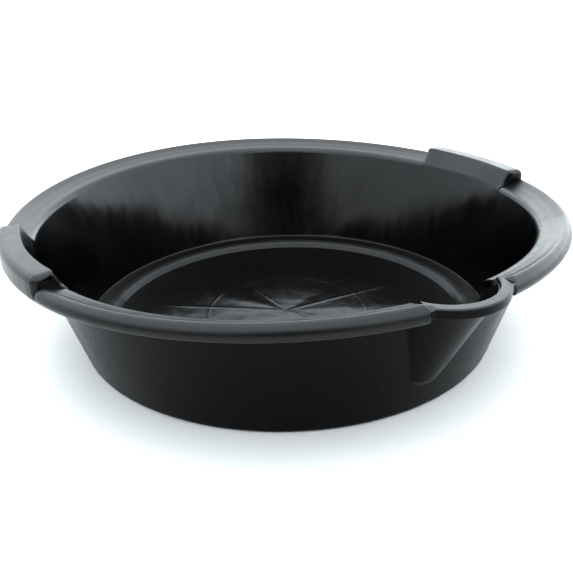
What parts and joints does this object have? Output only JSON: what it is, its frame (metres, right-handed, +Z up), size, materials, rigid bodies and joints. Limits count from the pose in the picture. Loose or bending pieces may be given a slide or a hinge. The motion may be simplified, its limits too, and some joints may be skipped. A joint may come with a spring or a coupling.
{
  "type": "oil drain pan",
  "caption": "Round shallow drain pan with a flared bowl, a hollow rolled rim, a raised hand grip on each side and a pouring spout with a flat lip.",
  "frame": {"origin": "centre of the base on the ground plane", "axes": "+Z up out of the bowl, -Y towards the pouring spout, +X towards the right grip"},
  "size_m": [0.4, 0.4092, 0.0987],
  "materials": {
    "moulded_plastic": "satin black moulded polyolefin"
  },
  "bodies": {
    "root": {"floor_centre": "moulded_plastic", "floor_panel": "moulded_plastic", "foot_ring": "moulded_plastic", "bowl_wall": "moulded_plastic", "spout_trough": "moulded_plastic", "spout_lip": "moulded_plastic", "rim_back": "moulded_plastic", "rim_front_left": "moulded_plastic", "rim_front_right": "moulded_plastic", "left_grip": "moulded_plastic", "right_grip": "moulded_plastic"}
  },
  "joints": []
}
